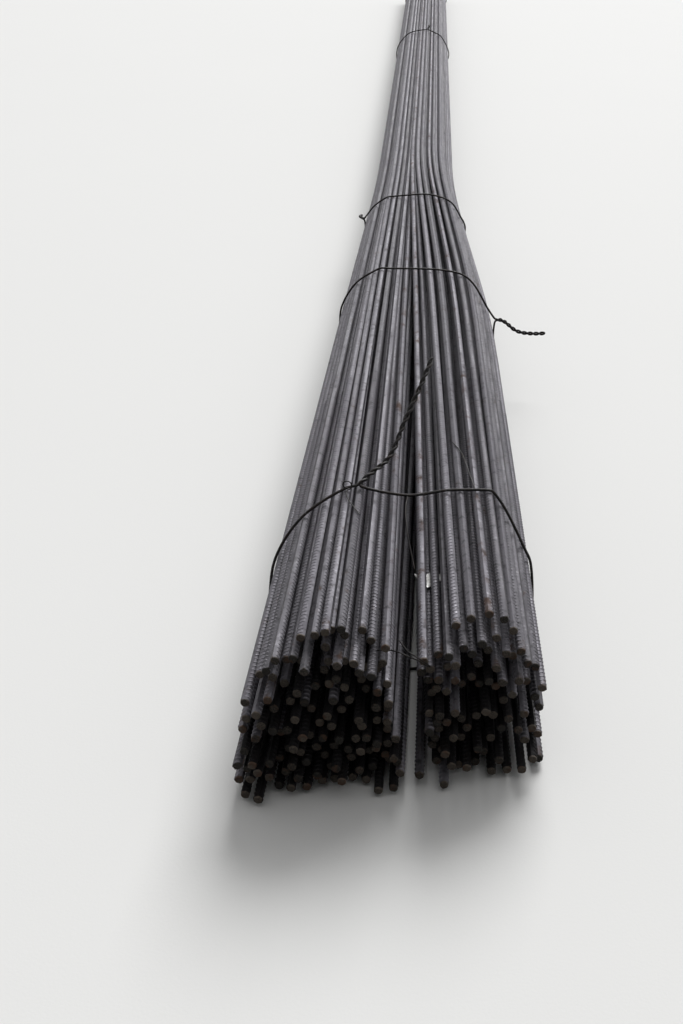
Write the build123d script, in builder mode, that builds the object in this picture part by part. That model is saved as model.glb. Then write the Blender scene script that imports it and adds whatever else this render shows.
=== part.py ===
"""Bundle of thin ribbed reinforcing bars in stock length, held by twisted tie wires.

The bars lie along Y. Their near ends, at small Y, fan out in two groups that lie side by side.
Past the shoulder the groups draw together, and from the waist on they run in one close pack to
the far end. Ribs are fine relief and are left out.
"""

import math
import os
import random

import numpy as np
from build123d import *
from scipy.optimize import linear_sum_assignment
from scipy.spatial import ConvexHull

os.makedirs("parts", exist_ok=True)

# Bars: straight stock with plain cut ends, drawn with few sides at the section area of a round bar.
bar_diameter = 10.0
bar_length = 6000.0
bar_sides = 7
left_bar_count = 125
right_bar_count = 85

# Places along the bundle, measured from its near end.
shoulder_station = 1090.0
waist_station = 2000.0

# Near end: two loose groups, each with upright flanks under a round crown.
left_near_pitch_to_diameter = 1.52
right_near_pitch_to_diameter = 1.68
near_fill = 0.93
near_parting = 4.0
left_near_half_width = 90.0
left_near_flank = 60.0
left_near_crown = 120.0
left_near_lean = 0.05
right_near_half_width = 66.0
right_near_flank = 60.0
right_near_crown = 100.0
near_shake = 1.6
parting_rounds = 4000

# Shoulder: the right group still stands wide here, and its upper bars cross over the left group.
shoulder_right_stretch = 1.24
shoulder_rise = 1.06

# Waist: one close pack, a little to the left of the near end's middle.
waist_gap = 0.35
waist_width_to_height = 1.16
waist_shift = -10.0
group_parting_lean = -0.35

# Cut ends lie on a slanting front, each with some stagger, and a few bars are drawn out.
front_rise_slope = 0.24
front_across_slope = 0.22
left_front_set_back = -37.0
right_front_set_back = -4.0
end_stagger = 15.0
drawn_out_bars = 8
drawn_out_length = 30.0

# Tie wires.
wire_diameter = 2.8
wire_sides = 5
wire_seat_gap = 0.3
twist_points_per_turn = 6
twist_spread = 1.3

# Tag tucked into the gap between the groups.
tag_width = 20.0
tag_length = 34.0
tag_thickness = 1.0
tag_corner = 2.5
tag_hole = 3.0
tag_station = 185.0
tag_turn = 50.0
tag_reach = 12.0
tag_seat_gap = 0.3

# Derived sizes.
corner_radius = bar_diameter / 2 * math.sqrt(
    2 * math.pi / (bar_sides * math.sin(2 * math.pi / bar_sides)))
axis_gap = 2 * corner_radius + waist_gap
wire_radius = wire_diameter / 2
ring_offset = corner_radius + wire_radius + wire_seat_gap
lowest_axis = corner_radius + 1.2 * wire_diameter + wire_seat_gap
shoulder_share = shoulder_station / waist_station
shake = random.Random(11)


class Tie:
    """One tie wire: where it goes round the bundle and how its twisted ends stand."""

    def __init__(self, station, lean, skew, knot_angle, lay, tail):
        self.station = station
        self.lean = lean
        self.skew = skew
        self.knot_angle = knot_angle
        self.lay = lay
        self.tail = tail


ties = [
    Tie(245.0, 0.62, 0.16, 101.0, 28.0,
        [(15, 26, 5), (32, 52, 10), (48, 92, 34), (66, 134, 64), (82, 176, 92)]),
    Tie(1085.0, 0.50, -0.08, 4.0, 20.0, [(14, -8, 1), (34, -24, -9), (58, -30, -12), (84, -32, -10)]),
    Tie(1690.0, -0.45, 0.0, 172.0, 18.0, [(-7, 10, 1), (-10, 26, -2), (-8, 44, -5)]),
    Tie(3900.0, 0.10, 0.05, 70.0, 18.0, [(3, 9, 6), (5, 25, 9), (3, 42, 8)]),
    Tie(5400.0, -0.08, 0.0, 95.0, 18.0, [(-2, 9, 6), (-4, 25, 9), (-9, 41, 8)]),
]


def close_packed(count, pitch, width_to_height):
    """The places of a close-packed lattice nearest to its middle, as (x, z, row)."""
    rows = math.ceil(math.sqrt(count)) + 4
    rise = pitch * math.sqrt(3) / 2
    places = []
    for row in range(-rows, rows + 1):
        for column in range(-rows, rows + 1):
            places.append(((column + 0.5 * (row % 2) + 0.25) * pitch, row * rise, row))
    places.sort(key=lambda place: math.hypot(place[0] / width_to_height, place[1]))
    return places[:count]


def waist_layout():
    """Axes of all bars at the waist and their row numbers, the left group's bars first."""
    count = left_bar_count + right_bar_count
    places = close_packed(count, axis_gap, waist_width_to_height)
    places.sort(key=lambda place: place[0] - group_parting_lean * place[1])
    lowest = min(place[1] for place in places)
    first_row = min(place[2] for place in places)
    axes = np.array([(x + waist_shift, z - lowest + lowest_axis) for x, z, row in places])
    return axes, [row - first_row + 1 for x, z, row in places]


def near_group(count, pitch, half_width, flank, crown, lean):
    """Axes of one group's bars at the near end, with some places left empty and a little shake."""
    rise = pitch * math.sqrt(3) / 2
    reach = math.ceil(2 * half_width / pitch)
    places = []
    for row in range(math.ceil(2 * (flank + crown) / rise)):
        for column in range(-reach, reach + 1):
            places.append(((column + 0.5 * (row % 2)) * pitch, row * rise))
    places.sort(key=lambda place: math.hypot(
        place[0] / half_width, max(place[1] - flank, 0.0) / crown))
    places = places[:round(count / near_fill)]
    rim = len(places) // 3
    for _ in range(len(places) - count):
        places.pop(shake.randrange(len(places) - rim))
    axes = np.array([(x + lean * z, z) for x, z in places])
    axes += [[shake.uniform(-near_shake, near_shake) for _ in range(2)] for _ in places]
    axes[:, 1] += lowest_axis - axes[:, 1].min()
    return axes


def near_layout():
    """Axes of all bars at the near end, each matched to the closest axis at the waist."""
    left = near_group(left_bar_count, left_near_pitch_to_diameter * bar_diameter,
                      left_near_half_width, left_near_flank, left_near_crown, left_near_lean)
    right = near_group(right_bar_count, right_near_pitch_to_diameter * bar_diameter,
                       right_near_half_width, right_near_flank, right_near_crown, 0.0)
    left[:, 0] += -near_parting / 2 - left[:, 0].max()
    right[:, 0] += near_parting / 2 - right[:, 0].min()
    whole = np.vstack([left, right])
    whole[:, 0] -= (whole[:, 0].min() + whole[:, 0].max()) / 2
    near = np.empty_like(waist_axes)
    for group in (slice(0, left_bar_count), slice(left_bar_count, None)):
        distance = ((waist_axes[group, None] - whole[None, group]) ** 2).sum(axis=2)
        rows, matches = linear_sum_assignment(distance)
        near[group] = whole[group][matches]
    return near


def shoulder_layout(near):
    """Axes at the shoulder: on the way to the waist, but still wide on the right and high."""
    axes = near + shoulder_share * (waist_axes - near)
    axes[:, 0] += (shoulder_right_stretch - 1) * np.clip(axes[:, 0], 0.0, None)
    axes[:, 1] = lowest_axis + (axes[:, 1] - lowest_axis) * shoulder_rise
    return axes


def closest_pass(start, end):
    """For each pair of bars on one stretch: where they pass closest, and their offset there."""
    apart = start[:, None] - start[None, :]
    drift = end[:, None] - end[None, :] - apart
    squared = np.maximum((drift ** 2).sum(axis=2), 1e-9)
    share = np.clip(-(apart * drift).sum(axis=2) / squared, 0.0, 1.0)
    offset = apart + share[..., None] * drift
    distance = np.hypot(offset[..., 0], offset[..., 1])
    np.fill_diagonal(distance, math.inf)
    return share, offset, distance


def part_bars(near):
    """Shift the near ends until no two bars come closer than the waist gap on their way."""
    for _ in range(parting_rounds):
        shoulder = shoulder_layout(near)
        worst = 0.0
        push = np.zeros_like(near)
        for start, end, first, last in ((near, shoulder, 1.0, 1 - shoulder_share),
                                        (shoulder, waist_axes, 1 - shoulder_share, 0.02)):
            share, offset, distance = closest_pass(start, end)
            short = np.clip(axis_gap - distance, 0.0, None)
            worst = max(worst, short.max())
            lever = first + share * (last - first)
            pull = short * lever / (lever ** 2 + 0.02) / distance
            push += 0.25 * (pull[..., None] * offset).sum(axis=1)
        if worst < waist_gap / 4:
            break
        near = near + push
        near[:, 1] = np.maximum(near[:, 1], lowest_axis)
    print("bars parted, least gap", round(waist_gap - float(worst), 2))
    return near


def axis_at(station):
    """Axes of all bars where they pass a station, or one station for each bar."""
    station = np.reshape(np.broadcast_to(station, len(near_axes)), (-1, 1))
    first = near_axes + station / shoulder_station * (shoulder_axes - near_axes)
    share = (station - shoulder_station) / (waist_station - shoulder_station)
    second = shoulder_axes + np.clip(share, 0.0, 1.0) * (waist_axes - shoulder_axes)
    return np.where(station < shoulder_station, first, second)


def end_stations():
    """Where each bar starts along the bundle, on a slanting front with some stagger."""
    starts = front_rise_slope * near_axes[:, 1]
    for group, set_back in ((slice(0, left_bar_count), left_front_set_back),
                            (slice(left_bar_count, None), right_front_set_back)):
        across = near_axes[group, 0] - near_axes[group, 0].mean()
        starts[group] += set_back + front_across_slope * across
    starts += [shake.uniform(-end_stagger, end_stagger) for _ in near_axes]
    upper = np.flatnonzero(near_axes[:, 1] > 0.75 * near_axes[:, 1].max())
    inner = [bar for bar in upper if near_axes[bar, 1] < np.sort(near_axes[:, 1])[-12]]
    for bar in shake.sample(inner, min(drawn_out_bars, len(inner))):
        starts[bar] -= drawn_out_length
    return starts


def bar_path(index):
    """Corner points of one bar's axis."""
    near = axis_at(starts)[index]
    stations = (starts[index], shoulder_station, waist_station, starts[index] + bar_length)
    axes = (near, shoulder_axes[index], waist_axes[index], waist_axes[index])
    return [Vector(x, station, z) for station, (x, z) in zip(stations, axes)]


def ring_corners(tie):
    """Corner points of a wire drawn taut round all bars, counter-clockwise from the near end."""
    station = tie.station
    for _ in range(4):
        axes = axis_at(station)
        middle = (axes.min(axis=0) + axes.max(axis=0)) / 2
        station = tie.station + (axes - middle) @ np.array([tie.skew, tie.lean])
    hull = axes[ConvexHull(axes).vertices]
    corners = []
    for before, here, after in zip(np.roll(hull, 1, axis=0), hull, np.roll(hull, -1, axis=0)):
        first = math.atan2(*(here - before)[::-1]) - math.pi / 2
        last = math.atan2(*(after - here)[::-1]) - math.pi / 2
        turn = (last - first) % (2 * math.pi)
        count = max(1, math.ceil(turn / math.radians(32)))
        reach = ring_offset / math.cos(turn / count / 2)
        for step in range(count):
            angle = first + turn * (step + 0.5) / count
            x, z = here + reach * np.array([math.cos(angle), math.sin(angle)])
            along = (x - middle[0]) * tie.skew + (z - middle[1]) * tie.lean
            corners.append(Vector(x, tie.station + along, z))
    return corners, Vector(middle[0], tie.station, middle[1])


def twisted_strand(curve, lay, side, phase):
    """One strand of a twisted pair round a centre line, starting toward the given side."""
    turns = curve.length / lay
    count = round(turns * twist_points_per_turn)
    strand = []
    for step in range(count + 1):
        along = curve % (step / count)
        across = (side - along * side.dot(along)).normalized()
        angle = phase + 2 * math.pi * turns * step / count
        offset = across * math.cos(angle) + along.cross(across) * math.sin(angle)
        strand.append((curve @ (step / count)) + offset * (wire_radius * twist_spread))
    return strand


def tie_path(tie):
    """The way of one tie wire: down one twisted end, round the bundle and up the other."""
    corners, middle = ring_corners(tie)
    angles = [math.degrees(math.atan2(c.Z - middle.Z, c.X - middle.X)) for c in corners]
    knot = min(range(len(corners)), key=lambda k: abs((angles[k] - tie.knot_angle + 180) % 360 - 180))
    before, after = corners[knot - 1], corners[(knot + 1) % len(corners)]
    side = (after - before).normalized()
    outward = Vector(math.cos(math.radians(tie.knot_angle)), 0,
                     math.sin(math.radians(tie.knot_angle)))
    base = corners[knot] + outward * wire_diameter
    curve = Spline(base, *[base + Vector(*step) for step in tie.tail])
    left = twisted_strand(curve, tie.lay, side, 0)
    right = twisted_strand(curve, tie.lay, side, math.pi)
    ring = corners[knot + 1:] + corners[:knot]
    return left[::-1] + ring + right


def tag_seat():
    """Middle, across and outward directions of the tag where it lies on two neighbouring bars."""
    axes = axis_at(tag_station)
    inner = axes[left_bar_count:, 0].min()
    wanted = np.array([inner + tag_width / 2, 0.8 * axes[left_bar_count:, 1].max()])
    best = None
    for first in range(left_bar_count, len(axes)):
        for second in range(left_bar_count, len(axes)):
            span = axes[second] - axes[first]
            reach = np.hypot(*span)
            if span[0] <= 0 or not 0.5 < reach / tag_width < 1.2:
                continue
            across = span / reach
            outward = np.array([-across[1], across[0]])
            seat = (axes[first] + axes[second]) / 2
            seat = seat + outward * (corner_radius + tag_seat_gap + tag_thickness / 2)
            off = axes - seat
            beside = np.abs(off @ across + tag_reach) - tag_length / 2
            above = np.abs(off @ outward) - tag_thickness / 2
            clear = np.hypot(np.clip(beside, 0, None), np.clip(above, 0, None)) - corner_radius
            clear[[first, second]] = tag_seat_gap
            score = np.hypot(*(seat - wanted))
            if outward[1] > 0.3 and clear.min() > 0.2 and (best is None or score < best[0]):
                best = (score, seat, across, outward)
    return best[1:]


def tube(path, radius, sides):
    """A few-sided rod along a path, mitred at its corners so that every side is flat."""
    legs = [(b - a).normalized() for a, b in zip(path, path[1:])]
    across = legs[0].cross(Vector(0, 0, 1))
    if across.length < 0.2:
        across = legs[0].cross(Vector(1, 0, 0))
    across = across.normalized()
    upward = legs[0].cross(across)
    turns = [math.pi / 2 + 2 * math.pi * side / sides for side in range(sides)]
    corners = [path[0] - origin + (across * math.cos(t) + upward * math.sin(t)) * radius
               for t in turns]
    rims = [corners]
    for point, leg, onward in zip(path[1:], legs, legs[1:] + legs[-1:]):
        mitre = leg + onward
        corners = [corner + leg * ((point - origin - corner).dot(mitre) / leg.dot(mitre))
                   for corner in corners]
        rims.append(corners)
    outlines = [rims[0], rims[-1]]
    for near, far in zip(rims, rims[1:]):
        outlines += zip(near, near[1:] + near[:1], far[1:] + far[:1], far)
    return Solid(Shell([Face(Wire.make_polygon(outline)) for outline in outlines]))


def build_row(side, row, members):
    """One row of one group, with its bars as separate solids."""
    with BuildPart() as bars:
        add([tube(bar_path(index), corner_radius, bar_sides) for index in members])
    bars.part.label = f"{side}_bars_row_{row:02d}"
    export_step(bars.part, f"parts/{bars.part.label}.step")


def build_tie(number, path):
    """One tie wire, a single piece of wire with its two ends twisted together."""
    with BuildPart() as tie:
        add(tube(path, wire_radius, wire_sides))
    tie.part.label = f"tie_wire_{number}"
    export_step(tie.part, f"parts/{tie.part.label}.step")


def build_tag():
    """The blank tag, a thin plate with rounded corners and a hole for its wire."""
    seat, across, outward = tag_seat()
    plane = Plane(origin=Vector(seat[0], tag_station, seat[1]) - origin,
                  x_dir=(across[0], 0, across[1]), z_dir=(outward[0], 0, outward[1]))
    with BuildPart() as tag:
        with BuildSketch(plane.rotated((0, 0, tag_turn))):
            with Locations((-tag_reach, 0)):
                RectangleRounded(tag_length, tag_width, tag_corner)
            with Locations((-tag_reach - tag_length / 2 + tag_hole * 1.4, 0)):
                Circle(tag_hole / 2, mode=Mode.SUBTRACT)
        extrude(amount=tag_thickness / 2, both=True)
    tag.part.label = "tag"
    export_step(tag.part, "parts/tag.step")


waist_axes, waist_rows = waist_layout()
near_axes = part_bars(near_layout())
shoulder_axes = shoulder_layout(near_axes)
starts = end_stations()
tie_paths = [tie_path(tie) for tie in ties]

# The origin lies on the floor under the middle of everything.
edges = [axis_at(starts)[:, 0].min() - corner_radius, axis_at(starts)[:, 0].max() + corner_radius]
edges += [point.X for path in tie_paths for point in path]
floor = min(point.Z for path in tie_paths for point in path) - wire_radius
origin = Vector((min(edges) + max(edges)) / 2, (min(starts) + max(starts) + bar_length) / 2, floor)

groups = {"left": range(left_bar_count), "right": range(left_bar_count, len(near_axes))}
for side, members in groups.items():
    for row in sorted({waist_rows[index] for index in members}):
        build_row(side, row, [index for index in members if waist_rows[index] == row])
for number, path in enumerate(tie_paths, start=1):
    build_tie(number, path)
build_tag()
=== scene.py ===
"""Looks of a bundle of thin ribbed reinforcing bars, held by twisted tie wires.

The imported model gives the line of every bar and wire. The script makes each row of bars again
in round ribbed stock and each tie in round drawn wire, bends up the tag's corner, and gives
all of them the finish of dull, damp steel.
"""

from __future__ import annotations

import logging
import math
import random
from dataclasses import dataclass, field
from enum import Enum

import bmesh
import bpy
import numpy as np
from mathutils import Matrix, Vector


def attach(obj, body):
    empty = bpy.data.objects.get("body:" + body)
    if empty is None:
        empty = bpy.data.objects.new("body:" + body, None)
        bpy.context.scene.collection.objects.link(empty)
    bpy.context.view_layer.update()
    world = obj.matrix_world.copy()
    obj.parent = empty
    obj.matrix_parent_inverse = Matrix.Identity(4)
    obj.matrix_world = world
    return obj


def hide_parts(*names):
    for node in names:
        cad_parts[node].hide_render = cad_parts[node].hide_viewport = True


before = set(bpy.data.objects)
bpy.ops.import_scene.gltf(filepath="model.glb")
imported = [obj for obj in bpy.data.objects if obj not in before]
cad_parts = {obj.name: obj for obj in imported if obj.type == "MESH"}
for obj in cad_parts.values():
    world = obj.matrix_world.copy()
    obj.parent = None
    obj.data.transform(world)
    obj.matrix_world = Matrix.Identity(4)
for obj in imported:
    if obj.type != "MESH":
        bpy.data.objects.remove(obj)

logging.basicConfig(level=logging.INFO, format="%(name)s: %(message)s")
log = logging.getLogger("rebar_bundle")

BODY = "root"

Colour = tuple[float, float, float, float]
Point = tuple[float, float, float]
Course = tuple[Point, ...]
Socket = bpy.types.NodeSocket
Material = bpy.types.Material


class Slot(Enum):
    """Material slots of the record."""

    BAR_STEEL = "bar_steel"
    TIE_WIRE = "tie_wire"
    TAG = "tag"


class RibReach(Enum):
    """How much of a bar carries modelled ribs; the rest has them as relief in its finish."""

    EXPOSED = "exposed"
    BURIED = "buried"


@dataclass(frozen=True)
class Grain:
    """One layer of fractal noise: features per metre, octaves, fineness and stretch per axis."""

    scale: float
    detail: float = 4.0
    rough: float = 0.55
    stretch: Point | None = None


@dataclass(frozen=True)
class Ramp:
    """A smooth change from start to end while a value goes from low to high."""

    low: float
    high: float
    start: float = 0.0
    end: float = 1.0


class Sheet:
    """Lays nodes into a shader or geometry tree."""

    def __init__(self, tree: bpy.types.NodeTree) -> None:
        """Keep the tree that the nodes go into."""
        self.tree = tree

    def add(self, kind: str, inputs: dict | None = None, **settings: object) -> bpy.types.Node:
        """Add one node.

        Args:
            kind: Blender's name of the node type.
            inputs: A socket to link or a value to set, by input name or number.
            settings: Properties of the node itself.

        Returns:
            The new node.
        """
        node = self.tree.nodes.new(kind)
        for name, value in settings.items():
            setattr(node, name, value)
        self.fill(node, inputs or {})
        return node

    def fill(self, node: bpy.types.Node, inputs: dict) -> None:
        """Link or set inputs of a node.

        Args:
            node: The node.
            inputs: A socket to link or a value to set, by input name or number.
        """
        for name, value in inputs.items():
            if isinstance(value, Socket):
                self.tree.links.new(value, node.inputs[name])
            else:
                node.inputs[name].default_value = value

    def out(self, kind: str, inputs: dict | None = None, **settings: object) -> Socket:
        """Add one node and take its first output."""
        return self.add(kind, inputs, **settings).outputs[0]

    def math(self, operation: str, *values: object) -> Socket:
        """Add a calculation on one, two or three values.

        Args:
            operation: Blender's name of the operation.
            values: Sockets or numbers.

        Returns:
            The result's socket.
        """
        return self.out("ShaderNodeMath", dict(enumerate(values)), operation=operation)

    def plus(self, first: object, second: object) -> Socket:
        """Two numbers added."""
        return self.math("ADD", first, second)

    def times(self, first: object, second: object) -> Socket:
        """Two numbers multiplied."""
        return self.math("MULTIPLY", first, second)

    def span(self, value: object, ramp: Ramp) -> Socket:
        """Map a value smoothly along a ramp.

        Args:
            value: The socket to map.
            ramp: The range it is read in and the results at its ends.

        Returns:
            The mapped value's socket.
        """
        return self.out("ShaderNodeMapRange", {
            0: value, 1: ramp.low, 2: ramp.high, 3: ramp.start, 4: ramp.end},
            interpolation_type="SMOOTHSTEP")

    def direct_sight(self) -> Socket:
        """Tell what the camera sees, itself or in a reflection or through glass.

        Returns:
            Socket with 1 for such rays and 0 for the others.
        """
        ray = self.add("ShaderNodeLightPath").outputs
        mirrored = self.math("MAXIMUM", ray["Is Glossy Ray"], ray["Is Transmission Ray"])
        return self.math("MAXIMUM", ray["Is Camera Ray"], mirrored)


class Shades(Sheet):
    """Lays the nodes of one material."""

    def __init__(self, name: str) -> None:
        """Start a material with one principled shader.

        Args:
            name: The material's name.
        """
        self.material = bpy.data.materials.new(name)
        self.material.use_nodes = True
        super().__init__(self.material.node_tree)
        self.tree.nodes.clear()
        self.shader = self.add("ShaderNodeBsdfPrincipled")
        self.add("ShaderNodeOutputMaterial", {0: self.shader.outputs[0]})
        self.place = self.add("ShaderNodeTexCoord").outputs["Object"]

    def attribute(self, name: str) -> Socket:
        """The number that the piece's mesh carries under a name."""
        return self.add("ShaderNodeAttribute", attribute_name=name).outputs["Fac"]

    def noise(self, grain: Grain, shift: Socket | None = None) -> Socket:
        """Fractal noise between 0 and 1 on the piece's own coordinates.

        Args:
            grain: The layer's size and fineness.
            shift: A number added to all three axes, to set pieces apart.

        Returns:
            The noise's socket.
        """
        place = self.place
        if shift is not None:
            place = self.out("ShaderNodeVectorMath", {0: place, 1: shift}, operation="ADD")
        if grain.stretch is not None:
            place = self.out("ShaderNodeMapping", {"Vector": place, "Scale": grain.stretch})
        return self.out("ShaderNodeTexNoise", {
            "Vector": place, "Scale": grain.scale, "Detail": grain.detail,
            "Roughness": grain.rough})

    def blend(self, share: object, first: object, second: object) -> Socket:
        """Mix two colours.

        Args:
            share: Share of the second colour.
            first: Colour or socket.
            second: Colour or socket.

        Returns:
            The mixed colour's socket.
        """
        node = self.add("ShaderNodeMix", {0: share, 6: first, 7: second}, data_type="RGBA")
        return node.outputs[2]

    def relief(self, height: Socket, depth: float,
               normal: Socket | None = None) -> Socket:
        """A bumped normal.

        Args:
            height: Height between 0 and 1.
            depth: Depth in metres.
            normal: A normal already bumped.

        Returns:
            The normal's socket.
        """
        inputs = {"Height": height, "Distance": depth, "Strength": 1.0}
        if normal is not None:
            inputs["Normal"] = normal
        return self.out("ShaderNodeBump", inputs)

    def finish(self, colour: object, roughness: object, normal: Socket,
               metallic: float, specular: float = 0.5) -> Material:
        """Connect the shader.

        Args:
            colour: Base colour.
            roughness: Roughness value or socket.
            normal: Bumped normal.
            metallic: Metal share, the same all over.
            specular: Level of the plain reflection, the same all over.

        Returns:
            The finished material.
        """
        self.fill(self.shader, {
            "Base Color": colour, "Roughness": roughness, "Normal": normal,
            "Metallic": metallic, "Specular IOR Level": specular})
        return self.material


@dataclass(frozen=True)
class RibPattern:
    """Shape of the rolled ribs of one bar, in metres, with the half arc in degrees."""

    pitch: float = 0.0065
    height: float = 0.0008
    base_width: float = 0.0029
    crest_width: float = 0.0011
    half_arc: float = 78.0
    slant: float = 0.0036
    sections: int = 5


@dataclass(frozen=True)
class MillSteel:
    """Dark rolled steel with mill scale, wet patches and rust in the valleys.

    A bar with no clear line up to the light turns near black towards its near end with painted
    shade.
    """

    ribs: RibPattern
    dark: Colour = (0.078, 0.075, 0.083, 1)
    light: Colour = (0.160, 0.154, 0.172, 1)
    # Colour of the rib crests: partly steel rubbed bare, partly a painted highlight.
    crest: Colour = (0.235, 0.226, 0.25, 1)
    rust: Colour = (0.080, 0.047, 0.033, 1)
    # Near black, for dirt patches in the rib valleys, partly painted shade there, and for the
    # painted shade at the near ends.
    grime_and_painted_shade: Colour = (0.005, 0.0045, 0.0045, 1)
    bars_apart: float = 9.0
    streaks: Grain = Grain(1.0, 5.0, 0.6, (170, 14, 170))
    clouds: Grain = Grain(22.0, 4.0, 0.6, (1, 0.5, 1))
    rust_spots: Grain = Grain(60.0, 6.0, 0.65, (1, 0.6, 1))
    grime_spots: Grain = Grain(130.0, 3.0, 0.5)
    wet_spots: Grain = Grain(260.0, 2.0, 0.5)
    grit: Grain = Grain(900.0, 3.0, 0.6)
    streak_share: float = 0.55
    bar_share: float = 0.34
    cloud_share: float = 0.45
    tone: Ramp = Ramp(0.38, 0.98)
    # How much the crests take that colour: partly wear, partly painted highlight.
    worn: Ramp = Ramp(0.3, 0.75, 0.25, 0.8)
    end_rust: Ramp = Ramp(0.0, 0.05, 0.07, 0.0)
    rusty_bars: Ramp = Ramp(0.86, 1.0, 0.0, 0.10)
    rust_cover: Ramp = Ramp(0.60, 0.78)
    rust_in_valley: Ramp = Ramp(0.0, 1.0, 0.35, 0.85)
    grime_cover: Ramp = Ramp(0.52, 0.70, 0.0, 0.55)
    # Painted shade at the near end of a bar cut off from the light: full at the end, gone 0.2 m in.
    painted_end_shade: Ramp = Ramp(0.02, 0.20, 0.95, 0.0)
    roughness: Ramp = Ramp(0.25, 0.95, 0.58, 0.90)
    rust_roughness: float = 0.4
    wetness: Ramp = Ramp(0.58, 0.68, 0.0, 0.16)
    rib_fade: Ramp = Ramp(0.16, 0.40, 1.0, 0.0)
    rust_height: float = 0.6
    grit_depth: float = 0.00012
    metal: float = 0.7
    gloss: float = 0.2

    def rib_relief(self, shades: Shades) -> Socket:
        """Height of the ribs where they aren't modelled.

        Args:
            shades: The material's nodes.

        Returns:
            Socket with 1 on a crest and 0 between ribs.
        """
        along, around = shades.attribute("along"), shades.attribute("around")
        off = shades.math("SUBTRACT", around, 0.5)
        lean = shades.times(off, self.ribs.slant)
        start = shades.math("SUBTRACT", along, shades.attribute("phase"))
        start = shades.math("SUBTRACT", start, lean)
        turn = shades.plus(shades.math("DIVIDE", start, self.ribs.pitch), 0.5)
        turn = shades.math("FRACT", turn)
        away = shades.math("ABSOLUTE", shades.math("SUBTRACT", turn, 0.5))
        half_base = self.ribs.base_width / self.ribs.pitch / 2
        half_crest = self.ribs.crest_width / self.ribs.pitch / 2
        stripe = shades.span(away, Ramp(half_crest, half_base, 1.0, 0.0))
        lens = shades.span(shades.math("ABSOLUTE", off), self.rib_fade)
        beyond = shades.math("GREATER_THAN", along, shades.attribute("ribbed_to"))
        return shades.times(shades.times(stripe, lens), beyond)

    def build(self) -> Material:
        """Make the material.

        Returns:
            The material.
        """
        shades = Shades("mill_steel")
        bar, along = shades.attribute("bar"), shades.attribute("along")
        apart = shades.times(bar, self.bars_apart)
        clouds = shades.noise(self.clouds, apart)
        rib = self.rib_relief(shades)
        raised = shades.math("MAXIMUM", rib, shades.attribute("crest"))
        valley = shades.math("SUBTRACT", 1.0, raised)

        streaks = shades.times(shades.noise(self.streaks, apart), self.streak_share)
        tone = shades.plus(streaks, shades.times(bar, self.bar_share))
        tone = shades.plus(tone, shades.times(clouds, self.cloud_share))
        colour = shades.blend(shades.span(tone, self.tone), self.dark, self.light)
        # Lighter rib crests: partly worn bare, partly a painted highlight on the raised ribs.
        worn = shades.times(raised, shades.span(clouds, self.worn))
        colour = shades.blend(worn, colour, self.crest)

        rust = shades.plus(shades.noise(self.rust_spots, apart), shades.span(along, self.end_rust))
        rust = shades.plus(rust, shades.span(bar, self.rusty_bars))
        rust = shades.span(rust, self.rust_cover)
        rust = shades.times(rust, shades.span(valley, self.rust_in_valley))
        colour = shades.blend(rust, colour, self.rust)

        grime_and_painted_shade = shades.span(shades.noise(self.grime_spots), self.grime_cover)
        # Painted shade: a bar with no clear line up to the light goes near black towards its near
        # end.
        painted_end_shade = shades.times(shades.span(along, self.painted_end_shade), shades.attribute("sheltered"))
        # Dirt patches kept to the rib valleys, partly dirt and partly painted shade between the
        # ribs, joined with the painted shade at the near ends.
        grime_and_painted_shade = shades.math("MAXIMUM", shades.times(grime_and_painted_shade, valley), painted_end_shade)
        colour = shades.blend(grime_and_painted_shade, colour, self.grime_and_painted_shade)

        coarse = shades.plus(clouds, shades.times(rust, self.rust_roughness))
        wet = shades.span(shades.noise(self.wet_spots), self.wetness)
        roughness = shades.math("SUBTRACT", shades.span(coarse, self.roughness), wet)
        normal = shades.relief(rib, self.ribs.height)
        fine = shades.plus(shades.noise(self.grit), shades.times(rust, self.rust_height))
        normal = shades.relief(fine, self.grit_depth, normal)
        return shades.finish(colour, roughness, normal, self.metal, self.gloss)


@dataclass(frozen=True)
class CutEnd:
    """Sheared end of a bar: dark, coarse steel with some fresh rust."""

    dark: Colour = (0.010, 0.009, 0.0075, 1)
    light: Colour = (0.145, 0.122, 0.100, 1)
    rust: Colour = (0.090, 0.050, 0.032, 1)
    torn: Grain = Grain(620.0, 5.0, 0.7)
    rust_spots: Grain = Grain(75.0, 3.0, 0.6)
    bar_share: float = 0.45
    tone: Ramp = Ramp(0.48, 1.0)
    rusty_bars: Ramp = Ramp(0.72, 1.0, 0.0, 0.16)
    rust_cover: Ramp = Ramp(0.54, 0.72, 0.0, 0.8)
    roughness: Ramp = Ramp(0.3, 0.7, 0.42, 0.78)
    depth: float = 0.0005
    metal: float = 0.0
    gloss: float = 0.18

    def build(self) -> Material:
        """Make the material.

        Returns:
            The material.
        """
        shades = Shades("cut_end")
        bar, torn = shades.attribute("bar"), shades.noise(self.torn)
        tone = shades.span(shades.plus(torn, shades.times(bar, self.bar_share)), self.tone)
        colour = shades.blend(tone, self.dark, self.light)
        rust = shades.plus(shades.noise(self.rust_spots), shades.span(bar, self.rusty_bars))
        colour = shades.blend(shades.span(rust, self.rust_cover), colour, self.rust)
        roughness = shades.span(torn, self.roughness)
        normal = shades.relief(torn, self.depth)
        return shades.finish(colour, roughness, normal, self.metal, self.gloss)


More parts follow.
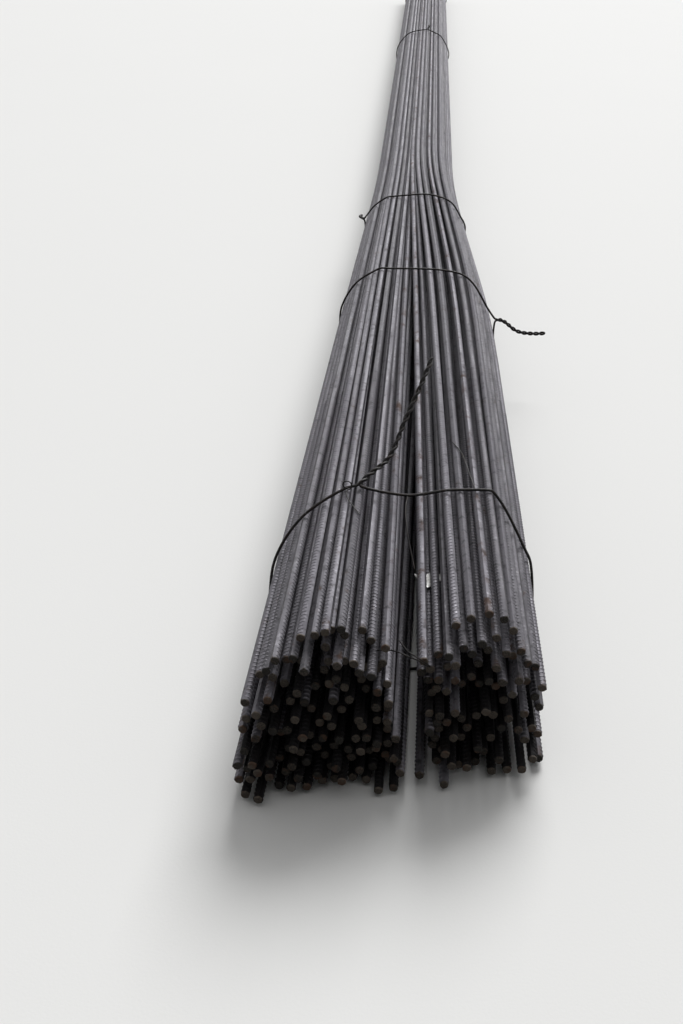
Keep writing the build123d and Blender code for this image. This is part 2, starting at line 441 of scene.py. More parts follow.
@dataclass(frozen=True)
class AnnealedWire:
    """Soft black binding wire with brown patches and bare scratches."""

    dark: Colour = (0.011, 0.010, 0.010, 1)
    brown: Colour = (0.019, 0.014, 0.012, 1)
    bare: Colour = (0.10, 0.097, 0.10, 1)
    patches: Grain = Grain(85.0, 4.0, 0.6)
    scratches: Grain = Grain(420.0, 2.0, 0.5, (1, 0.3, 1))
    grit: Grain = Grain(1500.0, 3.0, 0.6)
    brown_cover: Ramp = Ramp(0.42, 0.66)
    bare_cover: Ramp = Ramp(0.60, 0.74, 0.0, 0.7)
    roughness: Ramp = Ramp(0.3, 0.7, 0.36, 0.62)
    grit_depth: float = 0.00008
    metal: float = 0.5
    gloss: float = 0.25

    def build(self) -> Material:
        """Make the material.

        Returns:
            The material.
        """
        shades = Shades("annealed_wire")
        patches = shades.noise(self.patches)
        colour = shades.blend(shades.span(patches, self.brown_cover), self.dark, self.brown)
        scratches = shades.span(shades.noise(self.scratches), self.bare_cover)
        colour = shades.blend(scratches, colour, self.bare)
        roughness = shades.span(patches, self.roughness)
        normal = shades.relief(shades.noise(self.grit), self.grit_depth)
        return shades.finish(colour, roughness, normal, self.metal, self.gloss)


@dataclass(frozen=True)
class TagPlate:
    """Pale blank tag, scuffed and dirty in patches."""

    clean: Colour = (0.58, 0.58, 0.57, 1)
    dirty: Colour = (0.17, 0.155, 0.14, 1)
    dirt: Grain = Grain(95.0, 5.0, 0.65)
    fine: Grain = Grain(1300.0, 3.0, 0.5)
    dirt_cover: Ramp = Ramp(0.45, 0.75, 0.05, 0.85)
    roughness: Ramp = Ramp(0.3, 0.7, 0.35, 0.65)
    depth: float = 0.00006
    metal: float = 0.2

    def build(self) -> Material:
        """Make the material.

        Returns:
            The material.
        """
        shades = Shades("tag_plate")
        dirt = shades.noise(self.dirt)
        colour = shades.blend(shades.span(dirt, self.dirt_cover), self.clean, self.dirty)
        roughness = shades.span(dirt, self.roughness)
        normal = shades.relief(shades.noise(self.fine), self.depth)
        return shades.finish(colour, roughness, normal, self.metal)


@dataclass(frozen=True)
class FloorPaint:
    """Plain pale floor that keeps the object's shadow and throws little light back on it."""

    pale: Colour = (0.80, 0.80, 0.79, 1)
    worn: Colour = (0.66, 0.66, 0.65, 1)
    bounce: Colour = (0.10, 0.10, 0.10, 1)
    clouds: Grain = Grain(1.5, 2.0, 0.5)
    cloud_share: float = 0.08
    grit: Grain = Grain(300.0)
    depth: float = 0.0001
    roughness: float = 0.85
    metal: float = 0.0

    def build(self) -> Material:
        """Make the material.

        Returns:
            The material.
        """
        shades = Shades("floor_paint")
        clouds = shades.times(shades.noise(self.clouds), self.cloud_share)
        colour = shades.blend(clouds, self.pale, self.worn)
        colour = shades.blend(shades.direct_sight(), self.bounce, colour)
        normal = shades.relief(shades.noise(self.grit), self.depth)
        return shades.finish(colour, self.roughness, normal, self.metal)


@dataclass(frozen=True)
class Finishes:
    """All materials of the object."""

    steel: Material
    cut: Material
    wire: Material
    tag: Material


def merged_copy(node: str) -> bmesh.types.BMesh:
    """Copy a CAD node's mesh and join its loose triangles.

    Args:
        node: The node's name.

    Returns:
        The joined mesh, to be freed by the caller.
    """
    mesh = bmesh.new()
    mesh.from_mesh(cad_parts[node].data)
    bmesh.ops.remove_doubles(mesh, verts=mesh.verts, dist=1e-6)
    return mesh


def layers(start: list[bmesh.types.BMVert]) -> list[list[bmesh.types.BMVert]]:
    """Walk a mesh outwards from some corners.

    Args:
        start: The first corners.

    Returns:
        The corners of each step of the walk.
    """
    seen, found = set(start), [start]
    while found[-1]:
        step = []
        for vertex in found[-1]:
            for edge in vertex.link_edges:
                other = edge.other_vert(vertex)
                if other not in seen:
                    seen.add(other)
                    step.append(other)
        found.append(step)
    return found[:-1]


def islands(mesh: bmesh.types.BMesh) -> list[np.ndarray]:
    """Split a mesh in its separate solids.

    Args:
        mesh: The joined mesh.

    Returns:
        The corner points of each solid.
    """
    left, found = set(mesh.verts), []
    while left:
        start = next(vertex for vertex in mesh.verts if vertex in left)
        members = [vertex for layer in layers([start]) for vertex in layer]
        left.difference_update(members)
        found.append(np.array([tuple(vertex.co) for vertex in members]))
    return found


def place_object(name: str, data: bpy.types.ID) -> bpy.types.Object:
    """Put a mesh, light or camera in the scene.

    Args:
        name: The object's name.
        data: What it shows.

    Returns:
        The object.
    """
    placed = bpy.data.objects.new(name, data)
    bpy.context.scene.collection.objects.link(placed)
    return placed


def place_piece(mesh: bpy.types.Mesh, node: str) -> None:
    """Put a finished mesh in the scene as a piece of the same name.

    Args:
        mesh: The mesh, already in the row frame.
        node: The CAD node that it stands for.
    """
    piece = place_object(mesh.name, mesh)
    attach(piece, BODY)
    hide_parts(node)
    log.info("%s: %d faces", mesh.name, len(mesh.polygons))


class GrownMesh:
    """Runs a geometry tree on a mesh of lines and keeps the result as a plain mesh."""

    def __init__(self, name: str, inputs: dict[str, str]) -> None:
        """Start the tree.

        Args:
            name: The tree's name.
            inputs: The kind of each input but the lines, by name.
        """
        self.tree = bpy.data.node_groups.new(name, "GeometryNodeTree")
        self.sheet = Sheet(self.tree)
        self.tree.interface.new_socket(
            name="Mesh", in_out="OUTPUT", socket_type="NodeSocketGeometry")
        self.identifiers: dict[str, str] = {}
        for key, kind in {"Lines": "Geometry", **inputs}.items():
            item = self.tree.interface.new_socket(
                name=key, in_out="INPUT", socket_type="NodeSocket" + kind)
            self.identifiers[key] = item.identifier
        self.given = self.sheet.add("NodeGroupInput").outputs

    def named(self, name: str) -> Socket:
        """A number that the lines carry."""
        node = self.sheet.add("GeometryNodeInputNamedAttribute", {"Name": name})
        return node.outputs["Attribute"]

    def close(self, result: Socket, materials: dict[str, object]) -> None:
        """Make the result real, set its materials and connect it to the output.

        Args:
            result: The geometry.
            materials: What takes each material, by the material's input.
        """
        result = self.sheet.out("GeometryNodeRealizeInstances", {"Geometry": result})
        for name, taken in materials.items():
            result = self.sheet.out("GeometryNodeSetMaterial", {
                "Geometry": result, "Selection": taken, "Material": self.given[name]})
        self.sheet.add("NodeGroupOutput", {0: result})

    def grow(self, name: str, lines: bpy.types.Mesh, values: dict[str, object]) -> bpy.types.Mesh:
        """Evaluate the tree on lines.

        Args:
            name: Name of the resulting mesh.
            lines: Mesh of points and edges.
            values: The tree's inputs by name.

        Returns:
            The plain mesh.
        """
        source = place_object(name + "_lines", lines)
        modifier = source.modifiers.new("grow", "NODES")
        modifier.node_group = self.tree
        for key, value in values.items():
            modifier[self.identifiers[key]] = value
        graph = bpy.context.evaluated_depsgraph_get()
        mesh = bpy.data.meshes.new_from_object(source.evaluated_get(graph))
        mesh.name = name
        bpy.data.objects.remove(source)
        bpy.data.meshes.remove(lines)
        return mesh


@dataclass
class BarLine:
    """The line of one bar with what its steel needs to know."""

    points: np.ndarray
    bar: float
    phase: float
    reach: RibReach = RibReach.BURIED
    # 1 for a bar whose near end gets painted shade.
    sheltered: float = 0.0

    @property
    def steps(self) -> np.ndarray:
        """Lengths of the line's straight parts."""
        return np.linalg.norm(np.diff(self.points, axis=0), axis=1)

    def at(self, along: float) -> np.ndarray:
        """Point at a distance from the near end.

        Args:
            along: Distance in metres.

        Returns:
            The point.
        """
        marks = np.concatenate([[0.0], np.cumsum(self.steps)])
        return np.array([np.interp(along, marks, self.points[:, axis]) for axis in range(3)])


@dataclass
class RibbedStock:
    """Round bar stock with rolled ribs and sheared ends, laid along the frame's bars.

    Lengths are in metres. Directions across the bundle are in degrees, from the right (0)
    over the top (90) to the left (180), and the crease angle is in radians. A cut end is a
    list of distance, scale and cut share.
    """

    finishes: Finishes
    ribs: RibPattern
    core_diameter: float = 0.0092
    core_sides: int = 16
    ridge_height: float = 0.0006
    ridge_from: float = 0.495
    crease_angle: float = 0.5
    most_roll: float = 6.0
    rib_root: float = 0.97
    rib_fade: float = 0.6
    cut_end: Course = (
        (0.0, 0.84, 1.0), (0.0006, 0.95, 1.0), (0.0018, 1.0, 1.0), (0.0019, 1.0, 0.0))
    cut_over: float = 0.9
    section_gap: float = 0.05
    ease_length: float = 0.20
    ease_steps: int = 4
    exposed_reach: float = 0.66
    buried_reach: float = 0.10
    exposure_station: float = 0.45
    seen_from: range = range(-10, 191, 10)
    # Directions over the top; a bar with no clear line to any of them gets painted shade at its
    # near end.
    lit_from: range = range(60, 121, 10)
    sight_width: float = 0.8
    sight_start: float = 0.001
    first_rib: tuple[float, float] = (0.002, 0.007)
    seed: int = 5
    rows: dict[str, list[BarLine]] = field(default_factory=dict)

    def read_lines(self) -> None:
        """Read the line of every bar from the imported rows."""
        chance = random.Random(self.seed)
        for node in sorted(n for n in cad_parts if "_bars_row_" in n):
            mesh = merged_copy(node)
            solids = sorted(islands(mesh), key=lambda c: float(c[:, 0].mean()))
            mesh.free()
            self.rows[node] = [
                BarLine(self.eased(self.middles(corners)), chance.random(),
                        chance.uniform(*self.first_rib))
                for corners in solids]
        lines = [line for row in self.rows.values() for line in row]
        places = np.array([line.at(self.exposure_station)[[0, 2]] for line in lines])
        for line, place in zip(lines, places):
            if self.exposed(place, places, self.seen_from):
                line.reach = RibReach.EXPOSED
            # Bars cut off from the light over the top get painted shade at their near ends.
            line.sheltered = float(not self.exposed(place, places, self.lit_from))
        log.info("%d bars, %d of them exposed", len(lines),
                 sum(line.reach is RibReach.EXPOSED for line in lines))

    def middles(self, corners: np.ndarray) -> np.ndarray:
        """Middles of a bar's sections.

        Args:
            corners: Corner points of the bar's solid.

        Returns:
            One point for each section, from the near end on.
        """
        corners = corners[np.argsort(corners[:, 1])]
        cuts = np.nonzero(np.diff(corners[:, 1]) > self.section_gap)[0] + 1
        return np.array([part.mean(axis=0) for part in np.split(corners, cuts)])

    def eased(self, middles: np.ndarray) -> np.ndarray:
        """Round the slight bends of a bar and add the points of its cut ends.

        Args:
            middles: Corner points of the bar's line.

        Returns:
            Points of the eased line.
        """
        points = [middles[0]]
        for before, here, after in zip(middles, middles[1:], middles[2:]):
            first = here + (before - here) / np.linalg.norm(before - here) * self.ease_length
            last = here + (after - here) / np.linalg.norm(after - here) * self.ease_length
            for step in range(self.ease_steps + 1):
                share = step / self.ease_steps
                points.append((1 - share) ** 2 * first + 2 * share * (1 - share) * here
                              + share ** 2 * last)
        points.append(middles[-1])
        return np.array(points)

    def exposed(self, place: np.ndarray, places: np.ndarray, angles: range) -> bool:
        """Tell whether a bar can be seen from one of some directions across the bundle.

        Args:
            place: The bar's place across the bundle.
            places: All bars' places.
            angles: The directions, in degrees.

        Returns:
            True where a line of sight is clear.
        """
        for angle in angles:
            sight = np.array([math.cos(math.radians(angle)), math.sin(math.radians(angle))])
            off = places - place
            ahead = off @ sight
            beside = np.abs(off @ np.array([-sight[1], sight[0]]))
            near = beside < self.sight_width * self.core_diameter / 2
            if not np.any((ahead > self.sight_start) & near):
                return True
        return False

    def end_marks(self, line: BarLine) -> list[tuple[float, float, float]]:
        """Distances, scales and cut shares of a line's points.

        Args:
            line: The bar's line.

        Returns:
            One (distance, scale, cut) for each point.
        """
        length = float(line.steps.sum())
        between = [(float(d), 1.0, 0.0) for d in np.cumsum(line.steps)[:-1]]
        far = [(length - d, scale, cut) for d, scale, cut in reversed(self.cut_end)]
        return [*self.cut_end, *between, *far]

    def lines_mesh(self, name: str, row: list[BarLine]) -> bpy.types.Mesh:
        """Lay the lines of one row into a mesh: a core line and a rib line for each bar.

        Args:
            name: Name of the mesh.
            row: The row's bars.

        Returns:
            Mesh of points and edges with the numbers that the tree reads.
        """
        points, edges = [], []
        names = ("bar", "along", "phase", "ribbed_to", "sheltered", "scale", "cut", "rib_line")
        values: dict[str, list[float]] = {name: [] for name in names}
        for line in row:
            reach = self.exposed_reach if line.reach is RibReach.EXPOSED else self.buried_reach
            ribbed_to = line.phase + (math.floor(reach / self.ribs.pitch) + 0.5) * self.ribs.pitch
            core = [(*mark, 0.0) for mark in self.end_marks(line)]
            between = [along for along, *_ in core if line.phase < along < ribbed_to]
            rib = [(along, 1.0, 0.0, 1.0) for along in [line.phase, *between, ribbed_to]]
            for chain in (core, rib):
                start = len(points)
                edges += [(start + k, start + k + 1) for k in range(len(chain) - 1)]
                for along, scale, cut, rib_line in chain:
                    points.append(tuple(line.at(along)))
                    marks = (line.bar, along, line.phase, ribbed_to, line.sheltered,
                             scale, cut, rib_line)
                    for key, value in zip(names, marks):
                        values[key].append(value)
        mesh = bpy.data.meshes.new(name)
        mesh.from_pydata(points, edges, [])
        for key, numbers in values.items():
            mesh.attributes.new(key, "FLOAT", "POINT").data.foreach_set("value", numbers)
        return mesh

    def rib_shape(self) -> bpy.types.Object:
        """Model one pair of crescent ribs round a bar that runs along Z.

        Returns:
            The object that the tree repeats.
        """
        radius = self.core_diameter / 2
        shape = bmesh.new()
        crest = shape.verts.layers.float.new("crest")
        for middle, sign in ((90.0, -1.0), (270.0, 1.0)):
            rings = []
            for step in range(self.ribs.sections):
                turn = (2 * step / (self.ribs.sections - 1) - 1) * self.ribs.half_arc
                angle = math.radians(middle + turn)
                shift = sign * turn / 180 * self.ribs.slant
                fade = math.cos(math.radians(turn * 90 / self.ribs.half_arc)) ** self.rib_fade
                rise = fade * self.ribs.height
                out = Vector((math.cos(angle), math.sin(angle), 0))
                if step in (0, self.ribs.sections - 1):
                    ring = [shape.verts.new(out * radius + Vector((0, 0, shift)))]
                else:
                    base, top = self.ribs.base_width / 2, self.ribs.crest_width / 2
                    root = radius * self.rib_root
                    profile = [(root, -base, 0), (radius + rise, -top, 1),
                               (radius + rise, top, 1), (root, base, 0)]
                    ring = []
                    for reach, beside, height in profile:
                        vertex = shape.verts.new(out * reach + Vector((0, 0, shift + beside)))
                        vertex[crest] = height
                        ring.append(vertex)
                rings.append(ring)
            for before, after in zip(rings, rings[1:]):
                count = max(len(before), len(after))
                for k in range(count):
                    corners = [before[k % len(before)], before[(k + 1) % count % len(before)],
                               after[(k + 1) % count % len(after)], after[k % len(after)]]
                    shape.faces.new(list(dict.fromkeys(corners)))
        bmesh.ops.recalc_face_normals(shape, faces=shape.faces)
        mesh = bpy.data.meshes.new("rib_pair")
        shape.to_mesh(mesh)
        shape.free()
        return place_object("rib_pair", mesh)

    def section(self, grown: GrownMesh) -> Socket:
        """Lay the round section with a ridge on both sides.

        Args:
            grown: The tree.

        Returns:
            The section's curve, with its share of the way round on its points.
        """
        sheet, given = grown.sheet, grown.given
        radius = sheet.times(given["Core diameter"], 0.5)
        circle = sheet.out("GeometryNodeCurvePrimitiveCircle", {
            "Resolution": given["Core sides"], "Radius": radius})
        index = sheet.out("GeometryNodeInputIndex")
        turn = sheet.times(sheet.math("DIVIDE", index, given["Core sides"]), 2.0)
        around = sheet.math("ABSOLUTE", sheet.math("SUBTRACT", turn, 1.0))
        off = sheet.math("ABSOLUTE", sheet.math("SUBTRACT", around, 0.5))
        ridge = sheet.math("GREATER_THAN", off, self.ridge_from)
        ridge = sheet.times(ridge, given["Ridge height"])
        grow = sheet.plus(sheet.math("DIVIDE", ridge, radius), 1.0)
        place = sheet.out("GeometryNodeInputPosition")
        place = sheet.out("ShaderNodeVectorMath", {0: place, 3: grow}, operation="SCALE")
        circle = sheet.out("GeometryNodeSetPosition", {"Geometry": circle, "Position": place})
        return sheet.out("GeometryNodeStoreNamedAttribute", {
            "Geometry": circle, "Name": "around", "Value": around})

    def core(self, grown: GrownMesh, lines: Socket) -> Socket:
        """Sweep the section along the bars' lines.

        Args:
            grown: The tree.
            lines: The core lines' curves.

        Returns:
            The core's mesh, smooth but for its sharp edges.
        """
        sheet = grown.sheet
        core = sheet.out("GeometryNodeCurveToMesh", {
            "Curve": lines, "Profile Curve": self.section(grown),
            "Scale": grown.named("scale"), "Fill Caps": True})
        angle = sheet.out("GeometryNodeInputMeshEdgeAngle")
        soft = sheet.math("LESS_THAN", angle, self.crease_angle)
        core = sheet.out("GeometryNodeSetShadeSmooth", {"Geometry": core, "Shade Smooth": True})
        return sheet.out("GeometryNodeSetShadeSmooth", {
            "Geometry": core, "Shade Smooth": soft}, domain="EDGE")

    def rib_pairs(self, grown: GrownMesh, lines: Socket) -> Socket:
        """Repeat the pair of ribs along the rib lines.

        Args:
            grown: The tree.
            lines: The rib lines' curves.

        Returns:
            The instances.
        """
        sheet, given = grown.sheet, grown.given
        stations = sheet.add("GeometryNodeCurveToPoints", {
            "Curve": lines, "Length": given["Rib pitch"]}, mode="LENGTH").outputs
        pair = sheet.add("GeometryNodeObjectInfo", {"Object": given["Rib pair"]})
        return sheet.out("GeometryNodeInstanceOnPoints", {
            "Points": stations["Points"], "Instance": pair.outputs["Geometry"],
            "Rotation": stations["Rotation"]})

    def stock_tree(self) -> GrownMesh:
        """Lay the tree that sweeps the round core and repeats the ribs.

        Returns:
            The tree, ready to run on a row's lines.
        """
        grown = GrownMesh("ribbed_stock", {
            "Core diameter": "Float", "Core sides": "Int", "Ridge height": "Float",
            "Rib pitch": "Float", "Rib pair": "Object", "Steel": "Material",
            "Cut end": "Material"})
        sheet = grown.sheet
        curves = sheet.out("GeometryNodeMeshToCurve", {"Mesh": grown.given["Lines"]})
        curves = sheet.out("GeometryNodeSetCurveNormal", {"Curve": curves}, mode="Z_UP")
        roll = sheet.times(grown.named("bar"), self.most_roll * math.tau)
        curves = sheet.out("GeometryNodeSetCurveTilt", {"Curve": curves, "Tilt": roll})
        rib_line = sheet.math("GREATER_THAN", grown.named("rib_line"), 0.5)
        parted = sheet.add("GeometryNodeSeparateGeometry", {
            "Geometry": curves, "Selection": rib_line}).outputs
        both = sheet.add("GeometryNodeJoinGeometry")
        for part in (self.core(grown, parted["Inverted"]),
                     self.rib_pairs(grown, parted["Selection"])):
            grown.tree.links.new(part, both.inputs[0])
        at_end = sheet.math("GREATER_THAN", grown.named("cut"), self.cut_over)
        grown.close(both.outputs[0], {"Steel": True, "Cut end": at_end})
        return grown

    def build(self) -> None:
        """Make every row of bars in ribbed stock."""
        self.read_lines()
        pair, grown = self.rib_shape(), self.stock_tree()
        for node, row in self.rows.items():
            mesh = grown.grow(f"{node}_ribbed", self.lines_mesh(node + "_lines", row), {
                "Core diameter": self.core_diameter, "Core sides": self.core_sides,
                "Ridge height": self.ridge_height, "Rib pitch": self.ribs.pitch, "Rib pair": pair,
                "Steel": self.finishes.steel, "Cut end": self.finishes.cut})
            place_piece(mesh, node)
        bpy.data.objects.remove(pair)


@dataclass
class DrawnWire:
    """Round wire drawn along smooth paths, with its ends nipped off."""

    finishes: Finishes
    lowest: float
    sides: int = 10
    step: float = 0.0011
    most_steps: int = 8
    nipped: float = 0.75

    def __post_init__(self) -> None:
        """Lay the tree once for all wires."""
        self.grown = self.tree()

    def smooth(self, points: np.ndarray) -> np.ndarray:
        """Run a smooth curve through points (centripetal Catmull-Rom).

        Args:
            points: Points that the wire passes through.

        Returns:
            Points along the curve, none lower than the wire can lie.
        """
        ends = [2 * points[0] - points[1], *points, 2 * points[-1] - points[-2]]
        found = []
        for quad in zip(ends, ends[1:], ends[2:], ends[3:]):
            gaps = [float(np.linalg.norm(b - a)) ** 0.5 for a, b in zip(quad, quad[1:])]
            marks = np.concatenate([[0.0], np.cumsum(gaps)])
            count = max(1, min(self.most_steps, round(gaps[1] ** 2 / self.step)))
            for mark in np.linspace(marks[1], marks[2], count, endpoint=False):
                level = list(quad)
                for first, reach in ((0, 1), (0, 2), (1, 1)):
                    level = [
                        ((marks[k + reach] - mark) * a + (mark - marks[k]) * b)
                        / (marks[k + reach] - marks[k])
                        for k, (a, b) in enumerate(zip(level, level[1:]), first)]
                found.append(level[0])
        curve = np.array([*found, points[-1]])
        curve[:, 2] = np.maximum(curve[:, 2], self.lowest)
        return curve

    def tree(self) -> GrownMesh:
        """Lay the tree that sweeps a round section along lines.

        Returns:
            The tree.
        """
        grown = GrownMesh("drawn_wire", {
            "Wire diameter": "Float", "Wire sides": "Int", "Wire": "Material"})
        sheet, given = grown.sheet, grown.given
        curves = sheet.out("GeometryNodeMeshToCurve", {"Mesh": given["Lines"]})
        circle = sheet.out("GeometryNodeCurvePrimitiveCircle", {
            "Resolution": given["Wire sides"],
            "Radius": sheet.times(given["Wire diameter"], 0.5)})
        wire = sheet.out("GeometryNodeCurveToMesh", {
            "Curve": curves, "Profile Curve": circle, "Scale": grown.named("scale"),
            "Fill Caps": True})
        wire = sheet.out("GeometryNodeSetShadeSmooth", {"Geometry": wire, "Shade Smooth": True})
        grown.close(wire, {"Wire": True})
        return grown

    def draw(self, name: str, wires: list[tuple[np.ndarray, float]]) -> bpy.types.Mesh:
        """Make one mesh of wires along paths.

        Args:
            name: Name of the mesh.
            wires: The points that each wire passes through and its diameter in metres.

        Returns:
            The mesh.
        """
        points, edges, scales = [], [], []
        thickest = max(diameter for _, diameter in wires)
        for path, diameter in wires:
            curve = self.smooth(path)
            edges += [(len(points) + k, len(points) + k + 1) for k in range(len(curve) - 1)]
            points += [tuple(point) for point in curve]
            shares = (self.nipped, *[1.0] * (len(curve) - 2), self.nipped)
            scales += [share * diameter / thickest for share in shares]
        lines = bpy.data.meshes.new(name + "_lines")
        lines.from_pydata(points, edges, [])
        lines.attributes.new("scale", "FLOAT", "POINT").data.foreach_set("value", scales)
        return self.grown.grow(name, lines, {
            "Wire diameter": thickest, "Wire sides": self.sides, "Wire": self.finishes.wire})


@dataclass(frozen=True)
class NearTie:
    """How the tie wire at the near end sags between the groups, and its thin loose ends.

    Places and sizes are in metres. The loose ends are, in turn: one below the curl, one on
    the right group that ends at the tie, two that cross the gap at the front, and one from
    the sag to the tag's corner.
    """

    node: str = "tie_wire_1"
    top_side: float = 0.1
    sag: Course = ((-0.0270, -2.6962, 0.1742), (0.0180, -2.6903, 0.1792))
    curl_middle: Point = (-0.0985, -2.7090, 0.1925)
    curl_radius: float = 0.0052
    curl_turns: float = 1.3
    curl_points: int = 16
    curl_drift: float = 0.0035
    thin: float = 0.0015
    loose_ends: tuple[Course, ...] = (
        ((-0.0985, -2.7125, 0.1873), (-0.0991, -2.7178, 0.1862), (-0.0963, -2.7317, 0.1857),
         (-0.0895, -2.7484, 0.1857), (-0.0803, -2.7693, 0.1857)),
        ((0.0264, -2.5562, 0.1790), (0.0326, -2.5705, 0.1790), (0.0386, -2.5894, 0.1786),
         (0.0454, -2.6316, 0.1776), (0.0517, -2.6728, 0.1771), (0.0535, -2.6862, 0.1771)),
        ((-0.0519, -2.9751, 0.1430), (-0.0438, -2.9767, 0.1450), (-0.0346, -2.9807, 0.1470),
         (-0.0233, -2.9945, 0.1522), (-0.0163, -2.9945, 0.1489), (-0.0092, -2.9945, 0.1456),
         (-0.0031, -2.9945, 0.1410), (0.0022, -2.9822, 0.1302)),
        ((-0.0316, -2.9246, 0.1235), (-0.0270, -2.9550, 0.1382), (-0.0226, -2.9750, 0.1460),
         (-0.0184, -2.9900, 0.1518), (-0.0103, -2.9955, 0.1499), (-0.0042, -2.9955, 0.1453),
         (0.0026, -2.9830, 0.1313)),
        ((-0.0272, -2.6972, 0.1738), (-0.0290, -2.7241, 0.1720), (-0.0265, -2.7611, 0.1640),
         (-0.0210, -2.7912, 0.1520), (-0.0162, -2.8150, 0.1432)))

    def curl(self) -> np.ndarray:
        """Wind the curl that hooks over the tie.

        Returns:
            Points along the curl.
        """
        turns = np.linspace(-0.5 * math.pi, (2 * self.curl_turns - 0.5) * math.pi, self.curl_points)
        drift = np.linspace(-self.curl_drift, self.curl_drift, self.curl_points)
        return np.array(self.curl_middle) + np.column_stack([
            self.curl_radius * np.cos(turns), drift, self.curl_radius * np.sin(turns)])

    def sagged(self, points: np.ndarray) -> np.ndarray:
        """Let the wire sag where it spans the gap between the groups.

        Args:
            points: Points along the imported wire.

        Returns:
            The points with those of the sag among them.
        """
        left, right = self.sag[0][0], self.sag[-1][0]
        for k, (a, b) in enumerate(zip(points, points[1:])):
            spans = min(a[0], b[0]) < left and max(a[0], b[0]) > right
            if spans and min(a[2], b[2]) > self.top_side:
                sag = np.array(self.sag if a[0] < b[0] else self.sag[::-1])
                return np.concatenate([points[:k + 1], sag, points[k + 1:]])
        return points


@dataclass
class TieWires:
    """The twisted tie wires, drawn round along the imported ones.

    Faces at a smaller angle than flat, in radians, are one end face of a packed wire.
    """

    finishes: Finishes
    near_tie: NearTie = NearTie()
    wire_diameter: float = 0.0034
    flat: float = 0.02

    def end_corners(self, shape: bmesh.types.BMesh) -> list[bmesh.types.BMVert]:
        """Find the corners of a packed wire's first end face.

        Args:
            shape: The wire's joined mesh.

        Returns:
            The corners.
        """
        shape.verts.ensure_lookup_table()
        shape.normal_update()
        far = layers([shape.verts[0]])[-1][0]
        walk = layers([far])
        steps = {vertex: k for k, layer in enumerate(walk) for vertex in layer}
        faces = walk[-1][0].link_faces
        cap = [max(faces, key=lambda face: sum(steps[vertex] for vertex in face.verts))]
        for face in cap:
            for edge in face.edges:
                for other in edge.link_faces:
                    if other not in cap and other.normal.angle(face.normal) < self.flat:
                        cap.append(other)
        return list(dict.fromkeys(vertex for face in cap for vertex in face.verts))

    def middles(self, node: str) -> np.ndarray:
        """Read the middle line of a packed tie wire.

        Args:
            node: The tie wire's node.

        Returns:
            Points along the wire, from one end to the other.
        """
        shape = merged_copy(node)
        rings = layers(self.end_corners(shape))
        points = np.array([np.mean([vertex.co for vertex in ring], axis=0) for ring in rings])
        shape.free()
        return points

    def build(self) -> None:
        """Make each tie wire round and smooth."""
        wire = DrawnWire(self.finishes, self.wire_diameter / 2)
        for node in sorted(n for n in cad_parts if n.startswith("tie_wire_")):
            points, loose = self.middles(node), []
            if node == self.near_tie.node:
                points = self.near_tie.sagged(points)
                loose = [self.near_tie.curl(), *map(np.array, self.near_tie.loose_ends)]
            wires = [(points, self.wire_diameter), *[(path, self.near_tie.thin) for path in loose]]
            mesh = wire.draw(node + "_drawn", wires)
            place_piece(mesh, node)


@dataclass
class Tag:
    """The blank tag between the groups, with the corner in the gap bent up."""

    finishes: Finishes
    cuts: int = 14
    bend_from: float = -0.002
    bend_run: float = 0.0145
    bend_rise: float = 0.0095
    bend_power: float = 1.6

    def build(self) -> None:
        """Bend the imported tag's free corner and dress it."""
        shape = merged_copy("tag")
        for cut in range(self.cuts):
            place = self.bend_from - self.bend_run * cut / self.cuts
            bmesh.ops.bisect_plane(shape, geom=[*shape.verts, *shape.edges, *shape.faces],
                                   plane_co=(place, 0, 0), plane_no=(1, 0, 0))
        for vertex in shape.verts:
            share = max(0.0, self.bend_from - vertex.co.x) / self.bend_run
            vertex.co.z += self.bend_rise * share ** self.bend_power
        mesh = bpy.data.meshes.new("tag_plate")
        shape.to_mesh(mesh)
        shape.free()
        mesh.materials.clear()
        mesh.materials.append(self.finishes.tag)
        place_piece(mesh, "tag")


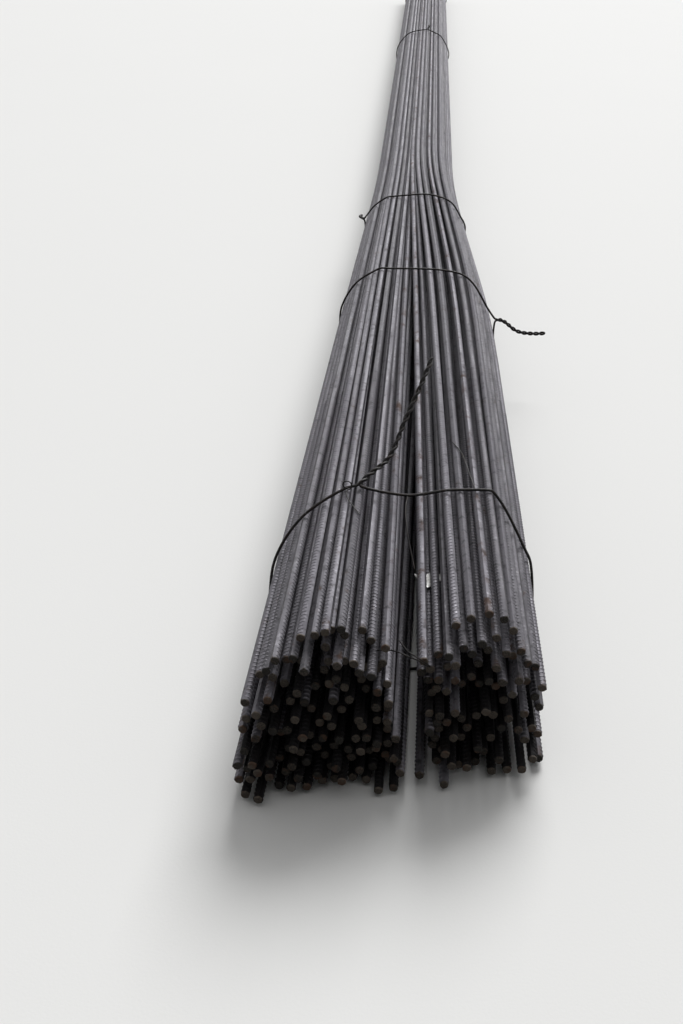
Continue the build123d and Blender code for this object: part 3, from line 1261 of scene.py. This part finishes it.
@dataclass
class Studio:
    """Floor, light and camera; angles in degrees, lens and sensor in millimetres."""

    floor_size: float = 60.0
    sensor: float = 36.0
    lens: float = 45.703
    place: Point = (-0.0171, -4.0639, 0.8994)
    pitch: float = 28.71
    yaw: float = 3.725
    sky: Ramp = Ramp(0.05, 0.95, 0.04, 0.62)
    bright_side: Point = (0.0, 0.5, 0.866)
    backdrop: float = 0.85
    sun: float = 3.0
    sun_spread: float = 30.0
    sun_turn: tuple[float, float] = (-50.0, 16.0)

    def build(self) -> None:
        """Set up floor, light and camera."""
        self.lay_floor()
        self.light()
        self.aim()

    def lay_floor(self) -> None:
        """Lay the floor under the object."""
        half = self.floor_size / 2
        mesh = bpy.data.meshes.new("floor")
        corners = [(-half, -half, 0), (half, -half, 0), (half, half, 0), (-half, half, 0)]
        mesh.from_pydata(corners, [], [(0, 1, 2, 3)])
        mesh.materials.append(FloorPaint().build())
        floor = place_object("floor", mesh)

    def light(self) -> None:
        """Light the object softly from above and behind, before an even pale backdrop."""
        world = bpy.data.worlds.new("soft_room")
        bpy.context.scene.world = world
        world.use_nodes = True
        sheet = Sheet(world.node_tree)
        sheet.tree.nodes.clear()
        towards = sheet.add("ShaderNodeTexCoord").outputs["Generated"]
        height = sheet.add("ShaderNodeVectorMath", {0: towards, 1: self.bright_side},
                           operation="DOT_PRODUCT").outputs["Value"]
        strength = sheet.out("ShaderNodeMapRange", {
            0: sheet.direct_sight(), 3: sheet.span(height, self.sky), 4: self.backdrop})
        room = sheet.out("ShaderNodeBackground", {"Color": (1, 1, 1, 1), "Strength": strength})
        sheet.add("ShaderNodeOutputWorld", {0: room})
        lamp = bpy.data.lights.new("overhead", "SUN")
        lamp.energy, lamp.angle = self.sun, math.radians(self.sun_spread)
        overhead = place_object("overhead", lamp)
        overhead.rotation_euler = (*map(math.radians, self.sun_turn), 0)

    def aim(self) -> None:
        """Set the camera at the near end."""
        lens = bpy.data.cameras.new("camera")
        lens.sensor_fit, lens.sensor_height, lens.lens = "VERTICAL", self.sensor, self.lens
        camera = place_object("camera", lens)
        camera.location = self.place
        camera.rotation_euler = (math.radians(90 - self.pitch), 0, math.radians(self.yaw))
        bpy.context.scene.camera = camera
        bpy.context.scene.view_settings.view_transform = "Standard"


def main() -> None:
    """Build all pieces."""
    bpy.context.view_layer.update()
    ribs = RibPattern()
    finishes = Finishes(steel=MillSteel(ribs).build(), cut=CutEnd().build(),
                        wire=AnnealedWire().build(), tag=TagPlate().build())
    RibbedStock(finishes, ribs).build()
    TieWires(finishes).build()
    Tag(finishes).build()
    Studio().build()
    bpy.context.view_layer.update()


if __name__ == "__main__":
    main()
